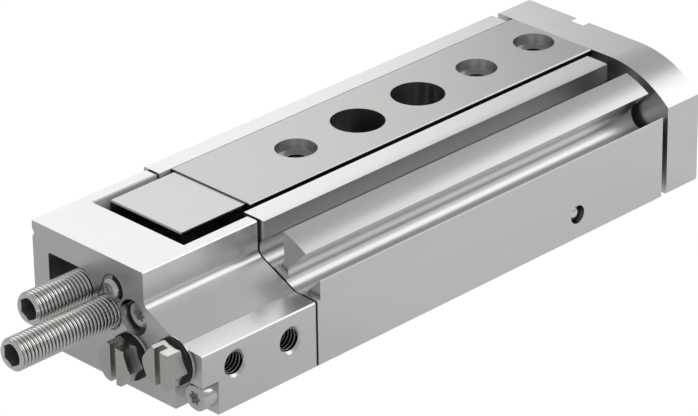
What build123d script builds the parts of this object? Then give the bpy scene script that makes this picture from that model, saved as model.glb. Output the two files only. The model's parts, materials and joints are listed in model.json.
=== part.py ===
# Mini pneumatic slide table, 6 mm piston, 30 mm stroke.
# The model is drawn from a corner: X runs along the travel from the end cap's outer face,
# Y from the side with the air ports, Z up from the base. On export it is moved so that the
# origin is on the base, midway along the body and across the end cap. All sizes are millimetres.
import os
from math import cos, pi, radians, sin, sqrt

from build123d import *

# Lengths along the travel
cap_length = 17.3
gasket_thickness = 0.2
gasket_inset = 0.1
housing_length = 57.5
yoke_gap = 0.9
yoke_thickness = 5.5
stroke = 30.0
side_relief = 0.45
lip_setback = 0.7
arm_setback = 0.2

# Widths and heights of the outside
cap_width = 27.4
housing_width = 28.1
yoke_width = 27.8
housing_height = 15.2
cap_drop = 0.1
table_rise = 0.1
yoke_floor_gap = 0.1
edge_chamfer = 0.15
arm_cut_y = 1.6

# Rounded shoulder that the side arm and the yoke share
shoulder_radius = 13.8
shoulder_centre_y = 9.5

# Sensor slots in the housing
slot_radius = 1.75
slot_mouth = 3.3
side_slot_y = 3.3
side_slot_drop = 5.55
top_slot_y = 7.35
top_slot_drop = 3.65
arm_corner_y = 5.7
lip_face_y = 8.34

# End cap section below the slots
ledge_outer_z = 8.17
ledge_inner_y = 3.37
ledge_inner_z = 8.32
cap_bend_drop = 4.17
cap_bend_radius = 1.2
ledge_bend_radius = 0.6
far_groove_drop = 1.6
far_groove_width = 1.0
far_groove_depth = 0.35

# Channel in the top of the housing, and the table that runs in it
channel_near_y = 11.55
channel_far_y = 25.45
table_near_gap = 0.85
table_far_gap = 0.08
table_thickness = 3.1
table_lip_thickness = 0.55
table_floor_gap = 0.2
rail_width_near = 1.35
rail_width_far = 1.2
rail_height = 2.7
rail_end_gap = 0.6

# Ball guide
ball_radius = 0.8
ball_clearance = 0.05
ball_drop = 1.0
ball_count = 6
ball_pitch = 4.0
cage_thickness = 0.5
cage_height = 2.0
cage_end_margin = 1.7
cage_start_margin = 0.5

# Holes in the table
hole_pitch = 10.0
first_hole_x = 32.65
hole_row_y = 18.8
thread_radius = 1.25
centring_radius = 2.5
table_centring_depth = 1.4
access_radius = 3.25

# Mounting holes in the housing base
screw_hole_radius = 1.7
screw_head_radius = 3.1
screw_floor_z = 3.3
base_centring_depth = 1.2

# Lower channel for the stop block, and the pocket in the end cap
lower_near_y = 12.75
lower_far_y = 24.95
lower_depth = 5.6
lower_corner_radius = 1.5
recess_wall = 7.55
recess_near_y = 10.65
recess_far_y = 25.55
recess_drop = 3.6

# Stop block under the end of the table
table_start = 19.2
block_length = 9.9
block_near_gap = 0.3
block_far_gap = 0.25
block_drop = 0.2
block_floor_gap = 0.2
foot_length = 6.0
foot_screw_radius = 0.8
foot_head_radius = 1.4
foot_head_height = 1.2
foot_head_clearance = 0.1
foot_head_inset = 0.2
foot_screw_depth = 1.6
foot_screw_inset = 1.75
foot_screw_x = 3.2

# Stop screws
stop_radius = 1.95
stop_bore_clearance = 0.05
stop_socket_flats = 2.0
stop_socket_depth = 2.2
stop_chamfer = 0.3
stop_bore_chamfer = 0.3
buffer_radius = 1.2
buffer_length = 1.0
buffer_stand = 0.3
stop_gap = 0.05
retract_y = 15.2
retract_drop = 1.7
retract_stick_out = 14.1
advance_y = 19.35
advance_drop = 2.35
advance_stick_out = 8.0
window_clearance = 0.2
window_far_y = 24.8
window_corner_radius = 0.35
anvil_length = 4.0
anvil_width = 6.0
anvil_seat_depth = 3.0
anvil_top_gap = 0.2
anvil_corner_radius = 0.8
anvil_foot_gap = 0.8
anvil_stand = 0.5

# Clamping wedge for the retracted stop screw
wedge_side = 1.05
wedge_rise = 3.25
wedge_radius = 1.6
wedge_depth = 3.4
wedge_clearance = 0.08
wedge_tip_side = 1.4
wedge_tip_rise = 1.75
wedge_upper_angle = 57
wedge_lower_angle = 20
wedge_inset = 0.05
clamp_screw_radius = 0.8
clamp_screw_length = 6.2
clamp_head_radius = 1.25
clamp_head_height = 0.7
clamp_head_round = 0.5
clamp_socket_flats = 1.0
clamp_socket_depth = 0.5

# End cap screws
cap_screw_radius = 1.0
cap_screw_length = 22.0
cap_head_radius = 1.65
cap_head_height = 2.0
cap_head_chamfer = 0.2
cap_hole_spare = 1.5
star_core_radius = 0.61
star_lobe_radius = 0.24
star_lobe_place = 0.6
cap_socket_depth = 0.9
upper_screw_y = 10.9
upper_screw_drop = 6.25
upper_screw_seat = 2.9
counterbore_radius = 2.15
lower_screw_y = 1.75
lower_screw_z = 2.3
notch_depth = 2.35
notch_width = 4.45
notch_height = 4.25

# Air ports, blanking plugs and galleries
port_radius = 1.4
port_depth = 2.8
port_chamfer = 0.3
gallery_radius = 0.6
rear_port_x = 4.95
rear_port_z = 5.45
front_port_x = 13.3
front_port_z = 4.95
rear_plug_y = 4.15
rear_plug_z = 6.2
front_plug_y = 11.45
front_plug_z = 3.95
plug_bore_radius = 1.25
plug_bore_depth = 6.5
plug_thread_length = 4.6
plug_thread_radius = 1.2
plug_flats = 4.6
plug_head_height = 2.15
plug_turn = 7
plug_front_radius = 2.4
plug_cone_length = 0.15
plug_slot_width = 0.85
plug_slot_depth = 1.3
seal_radius = 2.75
seal_thickness = 0.45
washer_radius = 2.85
washer_thickness = 0.15
channel_radius = 0.8
cross_hole_x = 60.1
cross_hole_z = 3.2
cross_hole_radius = 0.9
ball_plug_radius = 1.1
ball_plug_bore = 1.15
ball_plug_depth = 1.35

# Cylinder
cylinder_y = 6.5
cylinder_z = 4.4
cylinder_radius = 3.0
rod_radius = 1.5
fit_clearance = 0.03
piston_start_gap = 2.5
piston_length = 7.5
piston_gap = 0.1
seal_groove_depth = 0.8
seal_groove_width = 1.4
piston_end_wall = 0.5
rod_core_radius = 0.9
rod_core_overlap = 1.0
rod_tip_inset = 0.2
magnet_length = 2.0
magnet_depth = 1.0
bearing_radius = 3.5
bearing_setback = 13.5
bearing_length = 11.9
rod_seal_radius = 2.4
rod_seal_length = 2.0
rod_seal_inset = 1.0
ring_thickness = 0.6
ring_depth = 0.35
ring_width = 0.9
ring_opening = 2.4
ring_gap = 0.1

# Yoke plate
rod_thread_radius = 1.0
nut_radius = 2.2
nut_flats = 4.0
nut_height = 1.6
nut_recess_depth = 2.0
nut_recess_clearance = 0.3
yoke_screw_radius = 0.95
yoke_screw_length = 8.5
yoke_head_radius = 1.5
yoke_head_height = 1.4
yoke_head_recess = 1.6
yoke_recess_clearance = 0.1
yoke_screw_near_y = 14.4
yoke_screw_far_y = 22.85
yoke_screw_drop = 1.75
front_hole_y = 18.7
front_hole_drop = 2.3
front_hole_pitch = 10.0
front_centring_depth = 1.1
front_thread_depth = 4.5
yoke_screw_socket_flats = 1.3
yoke_screw_socket_depth = 0.9

# Room behind the tip of a screw in its hole, how far a cut runs past a face, and the depth
# to which joined bars of one piece run into each other
screw_tip_gap = 0.3
past = 1.0
join = 0.01

# Places worked out from the sizes above
housing_start = cap_length + gasket_thickness
housing_end = housing_start + housing_length
yoke_inner = housing_end + yoke_gap
yoke_outer = yoke_inner + yoke_thickness
cap_height = housing_height - cap_drop
table_top = housing_height + table_rise
table_bottom = table_top - table_thickness
rail_floor_z = table_bottom - table_floor_gap
lower_floor_z = table_bottom - lower_depth
recess_floor_z = housing_height - recess_drop
side_slot_z = housing_height - side_slot_drop
top_slot_z = housing_height - top_slot_drop
cap_bend_z = housing_height - cap_bend_drop
far_groove_z = housing_height - far_groove_drop
upper_screw_z = housing_height - upper_screw_drop
yoke_screw_z = table_top - yoke_screw_drop
front_hole_top_z = table_top - front_hole_drop
advance_z = table_bottom - advance_drop
retract_z = advance_z - retract_drop
wedge_y = retract_y - wedge_side
wedge_z = retract_z + wedge_rise
table_near_y = channel_near_y + table_near_gap
table_far_y = channel_far_y - table_far_gap
table_side_far_y = channel_far_y - table_near_gap
ball_z = rail_floor_z + rail_height - ball_drop
ball_near_y = (channel_near_y + table_near_y) / 2
ball_far_y = (channel_far_y + table_side_far_y) / 2
cap_step_y = top_slot_y + slot_radius
block_start = table_start - block_length
block_near_y = lower_near_y + block_near_gap
block_far_y = lower_far_y - block_far_gap
block_bottom = lower_floor_z + block_floor_gap
foot_end = table_start + foot_length
bearing_start = housing_end - bearing_setback
foot_screw_seat = block_bottom + foot_head_inset + foot_head_height
advance_end = foot_end + anvil_foot_gap
anvil_start = advance_end + stroke + stop_gap
piston_start = housing_start + piston_start_gap
piston_end = piston_start + piston_length
cap_screw_places = [
    (upper_screw_seat, upper_screw_y, upper_screw_z),
    (notch_depth, lower_screw_y, lower_screw_z),
]
hole_x = [first_hole_x + hole_pitch * step for step in range(5)]
table_thread_x = [hole_x[0], hole_x[3], hole_x[4]]
access_x = [hole_x[1], hole_x[2]]


def block(x0, x1, y0, y1, z0, z1):
    """Box between two corners."""
    return Pos(x0, y0, z0) * Box(x1 - x0, y1 - y0, z1 - z0, align=Align.MIN)


def along_x(radius, x0, x1, y, z):
    """Round bar or hole parallel to the travel."""
    return extrude(Plane.YZ.offset(x0) * Pos(y, z) * Circle(radius), x1 - x0)


def along_y(radius, y0, y1, x, z):
    """Round bar or hole square to the side face."""
    bar = Cylinder(radius, y1 - y0, align=(Align.CENTER, Align.CENTER, Align.MIN))
    return Pos(x, y0, z) * Rot(-90, 0, 0) * bar


def along_z(radius, z0, z1, x, y):
    """Upright round bar or hole."""
    return Pos(x, y, z0) * Cylinder(radius, z1 - z0, align=(Align.CENTER, Align.CENTER, Align.MIN))


def cone_x(radius0, radius1, x0, x1, y, z):
    """Cone parallel to the travel, used for chamfers."""
    ends = [Plane.YZ.offset(x0) * Pos(y, z) * Circle(radius0)]
    ends.append(Plane.YZ.offset(x1) * Pos(y, z) * Circle(radius1))
    return loft(ends)


def hexagon_x(flats, x0, x1, y, z, turn=0):
    """Hexagonal bar or socket parallel to the travel."""
    outline = Pos(y, z) * Rot(0, 0, turn) * RegularPolygon(flats / 2, 6, major_radius=False)
    return extrude(Plane.YZ.offset(x0) * outline, x1 - x0)


def section(outline, x0, x1):
    """Solid with one cross-section, from x0 to x1."""
    return extrude(Plane.YZ.offset(x0) * outline, x1 - x0)


def polygon(points):
    """Closed cross-section through the given (y, z) points."""
    return make_face(Polyline(*points, close=True))


def rounded_shoulder(width, top, bottom):
    """Outline with the arc over its near corner, shared by the housing and the yoke."""
    centre_z = top - shoulder_radius
    meet_z = centre_z + sqrt(shoulder_radius ** 2 - shoulder_centre_y ** 2)
    middle_y = shoulder_centre_y / 2
    middle_z = centre_z + sqrt(shoulder_radius ** 2 - (shoulder_centre_y - middle_y) ** 2)
    arc = ThreePointArc((0, meet_z), (middle_y, middle_z), (shoulder_centre_y, top))
    rest = Polyline(
        (shoulder_centre_y, top),
        (width - edge_chamfer, top),
        (width, top - edge_chamfer),
        (width, bottom),
        (edge_chamfer, bottom),
        (0, bottom + edge_chamfer),
        (0, meet_z),
    )
    return make_face(Curve() + [arc, rest])


def far_groove(width):
    """Shallow groove along the far face, cut in the housing and the end cap."""
    return polygon([
        (width + far_groove_depth, far_groove_z + far_groove_width),
        (width - far_groove_depth, far_groove_z),
        (width + far_groove_depth, far_groove_z - far_groove_width),
    ])


def side_slot():
    """Round sensor slot whose straight mouth leaves towards the near top corner."""
    reach = 3 * slot_radius
    mouth = Pos(side_slot_y, side_slot_z) * Rot(0, 0, 135) * Pos(reach / 2, 0) * Rectangle(reach, slot_mouth)
    return Pos(side_slot_y, side_slot_z) * Circle(slot_radius) + mouth


def top_slot():
    """Round sensor slot whose straight mouth leaves through the top."""
    width = lip_face_y - arm_corner_y
    height = housing_height + past - top_slot_z
    mouth = Pos(arm_corner_y, top_slot_z) * Rectangle(width, height, align=Align.MIN)
    return Pos(top_slot_y, top_slot_z) * Circle(slot_radius) + mouth


def corner(outline, y, z):
    """The corner of a cross-section at the given place."""
    return outline.vertices().sort_by_distance((y, z))[0]


def cap_outline():
    """Cross-section of the end cap, cut away below both sensor slots."""
    corners = [
        (0, 0),
        (cap_width, 0),
        (cap_width, cap_height),
        (cap_step_y, cap_height),
        (cap_step_y, cap_bend_z),
        (ledge_inner_y, ledge_inner_z),
        (0, ledge_outer_z),
    ]
    outline = polygon(corners)
    outline = fillet(corner(outline, cap_step_y, cap_bend_z), cap_bend_radius)
    outline = fillet(corner(outline, ledge_inner_y, ledge_inner_z), ledge_bend_radius)
    for y, z in ((0, 0), (0, ledge_outer_z), (cap_step_y, cap_height)):
        outline = chamfer(corner(outline, y, z), edge_chamfer)
    return outline


def table_channel():
    """Top channel with the two rail seats beside it."""
    width = channel_far_y - channel_near_y
    height = housing_height + past - rail_floor_z
    opening = Pos(channel_near_y, rail_floor_z) * Rectangle(width, height, align=Align.MIN)
    seat_width = width + rail_width_near + rail_width_far
    seats = Pos(channel_near_y - rail_width_near, rail_floor_z)
    return opening + seats * Rectangle(seat_width, rail_height, align=Align.MIN)


def lower_channel(x0, x1, floor_z, top_z):
    """Deeper channel with a round-cornered closed end, in which the stop block travels."""
    channel = block(x0, x1, lower_near_y, lower_far_y, floor_z, top_z)
    closed = channel.edges().filter_by(Axis.Z).group_by(Axis.X)[-1]
    return fillet(closed, lower_corner_radius)


def anvil_block(top):
    """Body of the fixed stop that the advanced stop screw meets, and of its pocket in the housing."""
    near_y = advance_y - anvil_width / 2
    solid = block(anvil_start, anvil_start + anvil_length, near_y, near_y + anvil_width,
                  lower_floor_z - anvil_seat_depth, top)
    return fillet(solid.edges().filter_by(Axis.Z), anvil_corner_radius)


def make_housing():
    """Extruded body with the sensor slots, the table channel and the cylinder bore."""
    whole = rounded_shoulder(housing_width, housing_height, 0)
    outline = whole - far_groove(housing_width) - side_slot() - top_slot() - table_channel()
    body = section(outline, housing_start, housing_end)
    relief_end = housing_start + side_relief
    cut_start = housing_start - past
    cut_end = housing_end + past
    cut_top = housing_height + past
    above_ledge = section(whole - cap_outline(), cut_start, relief_end)
    body -= above_ledge & block(cut_start, relief_end, -past, lip_face_y, 0, cut_top)
    body -= block(housing_end - lip_setback, cut_end, lip_face_y - join, channel_near_y,
                  rail_floor_z, cut_top)
    body -= block(housing_end - arm_setback, cut_end, arm_cut_y, lip_face_y,
                  side_slot_z + slot_radius, cut_top)
    body -= lower_channel(cut_start, anvil_start + anvil_stand, lower_floor_z, rail_floor_z + join)
    body -= anvil_block(rail_floor_z + join)
    for x in access_x:
        body -= along_z(screw_hole_radius, -past, lower_floor_z, x, hole_row_y)
        body -= along_z(screw_head_radius, screw_floor_z, lower_floor_z + join, x, hole_row_y)
        body -= along_z(centring_radius, -past, base_centring_depth, x, hole_row_y)
    body -= along_x(cylinder_radius, cut_start, bearing_start, cylinder_y, cylinder_z)
    body -= along_x(bearing_radius, bearing_start - join, cut_end, cylinder_y, cylinder_z)
    ring_start = bearing_start + bearing_length
    ring_end = ring_start + ring_thickness + ring_gap
    body -= along_x(bearing_radius + ring_depth, ring_start, ring_end, cylinder_y, cylinder_z)
    body -= along_x(channel_radius, cut_start, cross_hole_x, front_plug_y, front_plug_z)
    body -= along_y(cross_hole_radius, -past, front_plug_y, cross_hole_x, cross_hole_z)
    body -= along_y(ball_plug_bore, -past, ball_plug_depth + ball_plug_radius, cross_hole_x, cross_hole_z)
    for seat, y, z in cap_screw_places:
        body -= along_x(cap_screw_radius, cut_start, seat + cap_screw_length, y, z)
    return body


def recess(x1):
    """Space that the end cap leaves for the stop block."""
    upper = block(recess_wall, x1, recess_near_y, recess_far_y, recess_floor_z, housing_height + past)
    lower = block(recess_wall, x1, lower_near_y, lower_far_y, lower_floor_z, recess_floor_z + join)
    return upper + lower


def wedge_outline(clearance):
    """Teardrop that leans against the retracted stop screw."""
    radius = wedge_radius + clearance
    upper = radians(wedge_upper_angle)
    lower = radians(wedge_lower_angle)
    tail = polygon([
        (wedge_y + radius * cos(upper), wedge_z + radius * sin(upper)),
        (retract_y + wedge_tip_side + clearance, retract_z + wedge_tip_rise),
        (retract_y, retract_z),
        (wedge_y - radius * cos(lower), wedge_z - radius * sin(lower)),
    ])
    return Pos(wedge_y, wedge_z) * Circle(radius) + tail


def make_end_cap():
    """End cap with the stop-block recess, the window, the ports and the screw seats."""
    body = section(cap_outline() - far_groove(cap_width), 0, cap_length)
    cut_end = cap_length + past
    body -= recess(cut_end)
    radius = stop_radius + window_clearance
    body -= along_x(radius, -past, recess_wall + past, advance_y, advance_z)
    window = block(-past, recess_wall + past, advance_y, window_far_y, advance_z - radius, advance_z + radius)
    body -= fillet(window.edges().filter_by(Axis.X).group_by(Axis.Y)[-1], window_corner_radius)
    bore = stop_radius + stop_bore_clearance
    body -= along_x(bore, -past, block_start, retract_y, retract_z)
    body -= cone_x(bore + stop_bore_chamfer, bore, 0, stop_bore_chamfer, retract_y, retract_z)
    body -= section(wedge_outline(wedge_clearance), -past, wedge_depth)
    clamp_hole_end = clamp_screw_length + screw_tip_gap
    body -= along_x(clamp_screw_radius, wedge_depth - join, clamp_hole_end, wedge_y, wedge_z)
    body -= along_x(counterbore_radius, -past, upper_screw_seat, upper_screw_y, upper_screw_z)
    body -= block(-past, notch_depth, -past, notch_width, -past, notch_height)
    for seat, y, z in cap_screw_places:
        body -= along_x(cap_screw_radius, 0, cut_end, y, z)
    body -= along_x(plug_bore_radius, -past, plug_bore_depth, rear_plug_y, rear_plug_z)
    body -= along_x(gallery_radius, plug_bore_depth - join, cut_end, rear_plug_y, rear_plug_z)
    body -= along_x(plug_bore_radius, -past, front_port_x + port_radius, front_plug_y, front_plug_z)
    body -= along_x(channel_radius, front_port_x, cut_end, front_plug_y, front_plug_z)
    for x, z, reach in ((rear_port_x, rear_port_z, rear_plug_y), (front_port_x, front_port_z, front_plug_y)):
        body -= along_y(port_radius, -past, port_depth, x, z)
        body -= along_y(gallery_radius, 0, reach, x, z)
        mouth = Cone(port_radius + port_chamfer, port_radius, port_chamfer,
                     align=(Align.CENTER, Align.CENTER, Align.MIN))
        body -= Pos(x, 0, z) * Rot(-90, 0, 0) * mouth
    return body


def make_gasket():
    """Flat gasket in the joint between the end cap and the housing."""
    sheet = section(offset(cap_outline(), -gasket_inset, kind=Kind.INTERSECTION), cap_length, housing_start)
    cut_start = cap_length - past
    cut_end = housing_start + past
    sheet -= recess(cut_end)
    for seat, y, z in cap_screw_places:
        sheet -= along_x(cap_screw_radius, cut_start, cut_end, y, z)
    sheet -= along_x(gallery_radius, cut_start, cut_end, rear_plug_y, rear_plug_z)
    return sheet - along_x(channel_radius, cut_start, cut_end, front_plug_y, front_plug_z)


def star_socket(x, y, z):
    """Six-lobed socket cut into a screw head."""
    cut = along_x(star_core_radius, x - past, x + cap_socket_depth, y, z)
    for lobe in range(6):
        across = star_lobe_place * cos(lobe * pi / 3)
        up = star_lobe_place * sin(lobe * pi / 3)
        cut += along_x(star_lobe_radius, x - past, x + cap_socket_depth, y + across, z + up)
    return cut


def cap_screw(seat, y, z):
    """Cylinder-head screw that holds the end cap to the housing."""
    head = along_x(cap_head_radius, seat - cap_head_height, seat, y, z)
    rim = head.edges().filter_by(GeomType.CIRCLE).sort_by(Axis.X)[0]
    head = chamfer(rim, cap_head_chamfer)
    screw = head + along_x(cap_screw_radius, seat - join, seat + cap_screw_length - cap_hole_spare, y, z)
    return screw - star_socket(seat - cap_head_height, y, z)


def make_stop_screw(x0, x1, y, z):
    """Threaded stop screw with a hexagon socket outside and a buffer seat inside."""
    screw = along_x(stop_radius, x0, x1, y, z)
    ends = screw.edges().filter_by(GeomType.CIRCLE)
    screw = chamfer(ends, stop_chamfer)
    screw -= hexagon_x(stop_socket_flats, x0 - past, x0 + stop_socket_depth, y, z)
    return screw - along_x(buffer_radius, x1 - buffer_length + buffer_stand, x1 + past, y, z)


def make_buffer(x1, y, z):
    """Elastic buffer pressed into the inner end of a stop screw."""
    return along_x(buffer_radius, x1 - buffer_length + buffer_stand, x1 + buffer_stand, y, z)


def make_wedge():
    """Clamping wedge, hollowed where it bears on the stop screw."""
    wedge = section(wedge_outline(0), wedge_inset, wedge_depth)
    wedge -= along_x(stop_radius + stop_bore_clearance, 0, wedge_depth + past, retract_y, retract_z)
    return wedge - along_x(clamp_screw_radius, 0, wedge_depth + past, wedge_y, wedge_z)


def make_clamp_screw():
    """Button-head screw that pulls the wedge in."""
    top = wedge_inset - clamp_head_height
    head = along_x(clamp_head_radius, top, wedge_inset, wedge_y, wedge_z)
    rim = head.edges().filter_by(GeomType.CIRCLE).sort_by(Axis.X)[0]
    head = fillet(rim, clamp_head_round)
    screw = head + along_x(clamp_screw_radius, wedge_inset - join, clamp_screw_length, wedge_y, wedge_z)
    return screw - hexagon_x(clamp_socket_flats, top - past, top + clamp_socket_depth, wedge_y, wedge_z)


def make_plug(y, z):
    """Slotted hexagon plug that blanks a rear port."""
    head_inner = -washer_thickness - seal_thickness
    head_outer = head_inner - plug_head_height
    corner_radius = plug_flats / sqrt(3)
    cone_outer = head_outer + plug_cone_length
    cone_inner = head_inner - plug_cone_length
    turned = cone_x(plug_front_radius, corner_radius, head_outer, cone_outer, y, z)
    turned += along_x(corner_radius, cone_outer, cone_inner, y, z)
    turned += cone_x(corner_radius, plug_front_radius, cone_inner, head_inner, y, z)
    head = turned & hexagon_x(plug_flats, head_outer, head_inner, y, z, plug_turn)
    near_y = y - plug_slot_width / 2
    head -= block(head_outer - past, head_outer + plug_slot_depth, near_y, near_y + plug_slot_width,
                  z - plug_flats, z + plug_flats)
    return head + along_x(plug_thread_radius, head_inner - join, plug_thread_length, y, z)


def ring_x(outer, inner, x0, x1, y, z):
    """Flat ring around an axis parallel to the travel."""
    return along_x(outer, x0, x1, y, z) - along_x(inner, x0 - past, x1 + past, y, z)


def make_table():
    """Steel table with a ball groove along each side."""
    outline = polygon([
        (table_near_y, table_bottom),
        (table_side_far_y, table_bottom),
        (table_side_far_y, table_top - table_lip_thickness),
        (table_far_y, table_top - table_lip_thickness),
        (table_far_y, table_top - edge_chamfer),
        (table_far_y - edge_chamfer, table_top),
        (table_near_y + edge_chamfer, table_top),
        (table_near_y, table_top - edge_chamfer),
    ])
    groove = Circle(ball_radius + ball_clearance)
    outline = outline - Pos(ball_near_y, ball_z) * groove - Pos(ball_far_y, ball_z) * groove
    body = section(outline, table_start, yoke_inner)
    for x in table_thread_x:
        body -= along_z(thread_radius, table_bottom - past, table_top + past, x, hole_row_y)
        body -= along_z(centring_radius, table_top - table_centring_depth, table_top + past, x, hole_row_y)
    for x in access_x:
        body -= along_z(access_radius, table_bottom - past, table_top + past, x, hole_row_y)
    for y in foot_screw_rows():
        body -= along_z(foot_screw_radius, table_bottom - past, table_bottom + foot_screw_depth,
                        table_start + foot_screw_x, y)
    screw_end = yoke_outer - yoke_head_recess - yoke_screw_length
    for y in (yoke_screw_near_y, yoke_screw_far_y):
        body -= along_x(yoke_screw_radius, screw_end, yoke_inner + past, y, yoke_screw_z)
    return body


def foot_screw_rows():
    """Y places of the two screws that hold the stop block."""
    return block_near_y + foot_screw_inset, block_far_y - foot_screw_inset


def make_stop_block():
    """Block at the end of the table that carries the advanced stop screw."""
    top = table_top - block_drop
    outline = make_face(Polyline(
        (block_start, block_bottom),
        (foot_end, block_bottom),
        (foot_end, table_bottom),
        (table_start, table_bottom),
        (table_start, top),
        (block_start + edge_chamfer, top),
        (block_start, top - edge_chamfer),
        close=True,
    ))
    body = extrude(Plane.XZ.offset(-block_far_y) * outline, block_far_y - block_near_y)
    bore = stop_radius + stop_bore_clearance
    body -= along_x(bore, block_start - past, foot_end + past, advance_y, advance_z)
    x = table_start + foot_screw_x
    head_radius = foot_head_radius + foot_head_clearance
    for y in foot_screw_rows():
        body -= along_z(foot_screw_radius, block_bottom - past, table_bottom + past, x, y)
        body -= along_z(head_radius, block_bottom - past, foot_screw_seat, x, y)
    return body


def make_foot_screw(y):
    """Low-head screw from the stop block up into the table."""
    x = table_start + foot_screw_x
    head = along_z(foot_head_radius, foot_screw_seat - foot_head_height, foot_screw_seat, x, y)
    tip = table_bottom + foot_screw_depth - screw_tip_gap
    return head + along_z(foot_screw_radius, foot_screw_seat - join, tip, x, y)


def make_yoke():
    """Front plate that joins the table to the piston rod."""
    body = section(rounded_shoulder(yoke_width, table_top, yoke_floor_gap), yoke_inner, yoke_outer)
    cut_start = yoke_inner - past
    cut_end = yoke_outer + past
    recess_radius = nut_radius + nut_recess_clearance
    body -= along_x(rod_thread_radius, cut_start, cut_end, cylinder_y, cylinder_z)
    body -= along_x(recess_radius, yoke_outer - nut_recess_depth, cut_end, cylinder_y, cylinder_z)
    head_radius = yoke_head_radius + yoke_recess_clearance
    for y in (yoke_screw_near_y, yoke_screw_far_y):
        body -= along_x(yoke_screw_radius, cut_start, cut_end, y, yoke_screw_z)
        body -= along_x(head_radius, yoke_outer - yoke_head_recess, cut_end, y, yoke_screw_z)
    for step in range(2):
        z = front_hole_top_z - front_hole_pitch * step
        body -= along_x(centring_radius, yoke_outer - front_centring_depth, cut_end, front_hole_y, z)
        body -= along_x(thread_radius, yoke_outer - front_thread_depth, cut_end, front_hole_y, z)
    return body


def make_yoke_screw(y):
    """Socket-head screw from the yoke into the end of the table."""
    seat = yoke_outer - yoke_head_recess
    head = along_x(yoke_head_radius, seat, seat + yoke_head_height, y, yoke_screw_z)
    tip = seat - yoke_screw_length + screw_tip_gap
    screw = head + along_x(yoke_screw_radius, tip, seat + join, y, yoke_screw_z)
    top = seat + yoke_head_height
    socket_end = top - yoke_screw_socket_depth
    return screw - hexagon_x(yoke_screw_socket_flats, socket_end, top + past, y, yoke_screw_z)


def make_piston_rod():
    """Piston rod with a reduced threaded end through the yoke."""
    shaft = along_x(rod_radius, piston_end - rod_core_overlap, yoke_inner, cylinder_y, cylinder_z)
    core = along_x(rod_core_radius, piston_start, piston_end, cylinder_y, cylinder_z)
    thread = along_x(rod_thread_radius, yoke_inner - join, yoke_outer - rod_tip_inset, cylinder_y, cylinder_z)
    return shaft + core + thread


def make_piston():
    """Piston with grooves for its seal and its magnet ring."""
    radius = cylinder_radius - piston_gap
    body = along_x(radius, piston_start, piston_end, cylinder_y, cylinder_z)
    for start, length, depth in piston_grooves():
        body -= ring_x(radius + past, radius - depth, start, start + length, cylinder_y, cylinder_z)
    return body - make_piston_rod()


def piston_grooves():
    """Start, width and depth of the magnet groove and the two seal grooves."""
    magnet_start = (piston_start + piston_end - magnet_length) / 2
    return [
        (magnet_start, magnet_length, magnet_depth),
        (piston_start + piston_end_wall, seal_groove_width, seal_groove_depth),
        (piston_end - piston_end_wall - seal_groove_width, seal_groove_width, seal_groove_depth),
    ]


def piston_ring(groove, reach):
    """Ring that fills one of the piston's grooves."""
    start, length, depth = groove
    inner = cylinder_radius - piston_gap - depth
    return ring_x(cylinder_radius - reach, inner, start, start + length, cylinder_y, cylinder_z)


def make_bearing_cap():
    """Front cover of the cylinder, with the rod bearing and the seal seat."""
    end = bearing_start + bearing_length
    body = along_x(bearing_radius, bearing_start, end, cylinder_y, cylinder_z)
    body -= along_x(rod_radius + fit_clearance, bearing_start - past, end + past, cylinder_y, cylinder_z)
    seal_x = bearing_start + rod_seal_inset
    return body - along_x(rod_seal_radius, seal_x, seal_x + rod_seal_length, cylinder_y, cylinder_z)


def make_retaining_ring():
    """Open spring ring that keeps the bearing cap in."""
    x0 = bearing_start + bearing_length
    x1 = x0 + ring_thickness
    ring = ring_x(bearing_radius + ring_depth, bearing_radius - ring_width, x0, x1, cylinder_y, cylinder_z)
    return ring - block(x0 - past, x1 + past, cylinder_y - ring_opening / 2, cylinder_y + ring_opening / 2,
                        cylinder_z, cylinder_z + bearing_radius + past)


def make_rail(near):
    """Hardened rail with the housing's half of a ball groove."""
    y0 = channel_near_y - rail_width_near if near else channel_far_y
    width = rail_width_near if near else rail_width_far
    ball_y = ball_near_y if near else ball_far_y
    outline = Pos(y0, rail_floor_z) * Rectangle(width, rail_height, align=Align.MIN)
    outline -= Pos(ball_y, ball_z) * Circle(ball_radius + ball_clearance)
    return section(outline, housing_start + rail_end_gap, housing_end - rail_end_gap - lip_setback)


def ball_places():
    """X places of the balls of one row with the table retracted."""
    first = table_start + stroke / 2 + cage_start_margin + cage_end_margin
    return [first + ball_pitch * step for step in range(ball_count)]


def make_cage(ball_y):
    """Flat cage that keeps one row of balls apart."""
    places = ball_places()
    y0 = ball_y - cage_thickness / 2
    cage = block(places[0] - cage_end_margin, places[-1] + cage_end_margin, y0, y0 + cage_thickness,
                 ball_z - cage_height / 2, ball_z + cage_height / 2)
    for x in places:
        cage -= along_y(ball_radius + ball_clearance, y0 - past, y0 + cage_thickness + past, x, ball_z)
    return cage


def make_balls():
    """Both rows of guide balls."""
    return [Pos(x, y, ball_z) * Sphere(ball_radius) for y in (ball_near_y, ball_far_y) for x in ball_places()]


def make_anvil():
    """Fixed hardened stop in the floor of the housing."""
    return anvil_block(table_bottom - anvil_top_gap)


def make_nut():
    """Nut that clamps the piston rod to the yoke."""
    seat = yoke_outer - nut_recess_depth
    nut = hexagon_x(nut_flats, seat, seat + nut_height, cylinder_y, cylinder_z)
    return nut - along_x(rod_thread_radius, seat - past, seat + nut_height + past, cylinder_y, cylinder_z)


retract_tip = block_start - stop_gap - buffer_stand
advance_tip = advance_end - buffer_stand
head_plane = -washer_thickness
plug_places = [(rear_plug_y, rear_plug_z), (front_plug_y, front_plug_z)]
seal_x = bearing_start + rod_seal_inset

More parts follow.
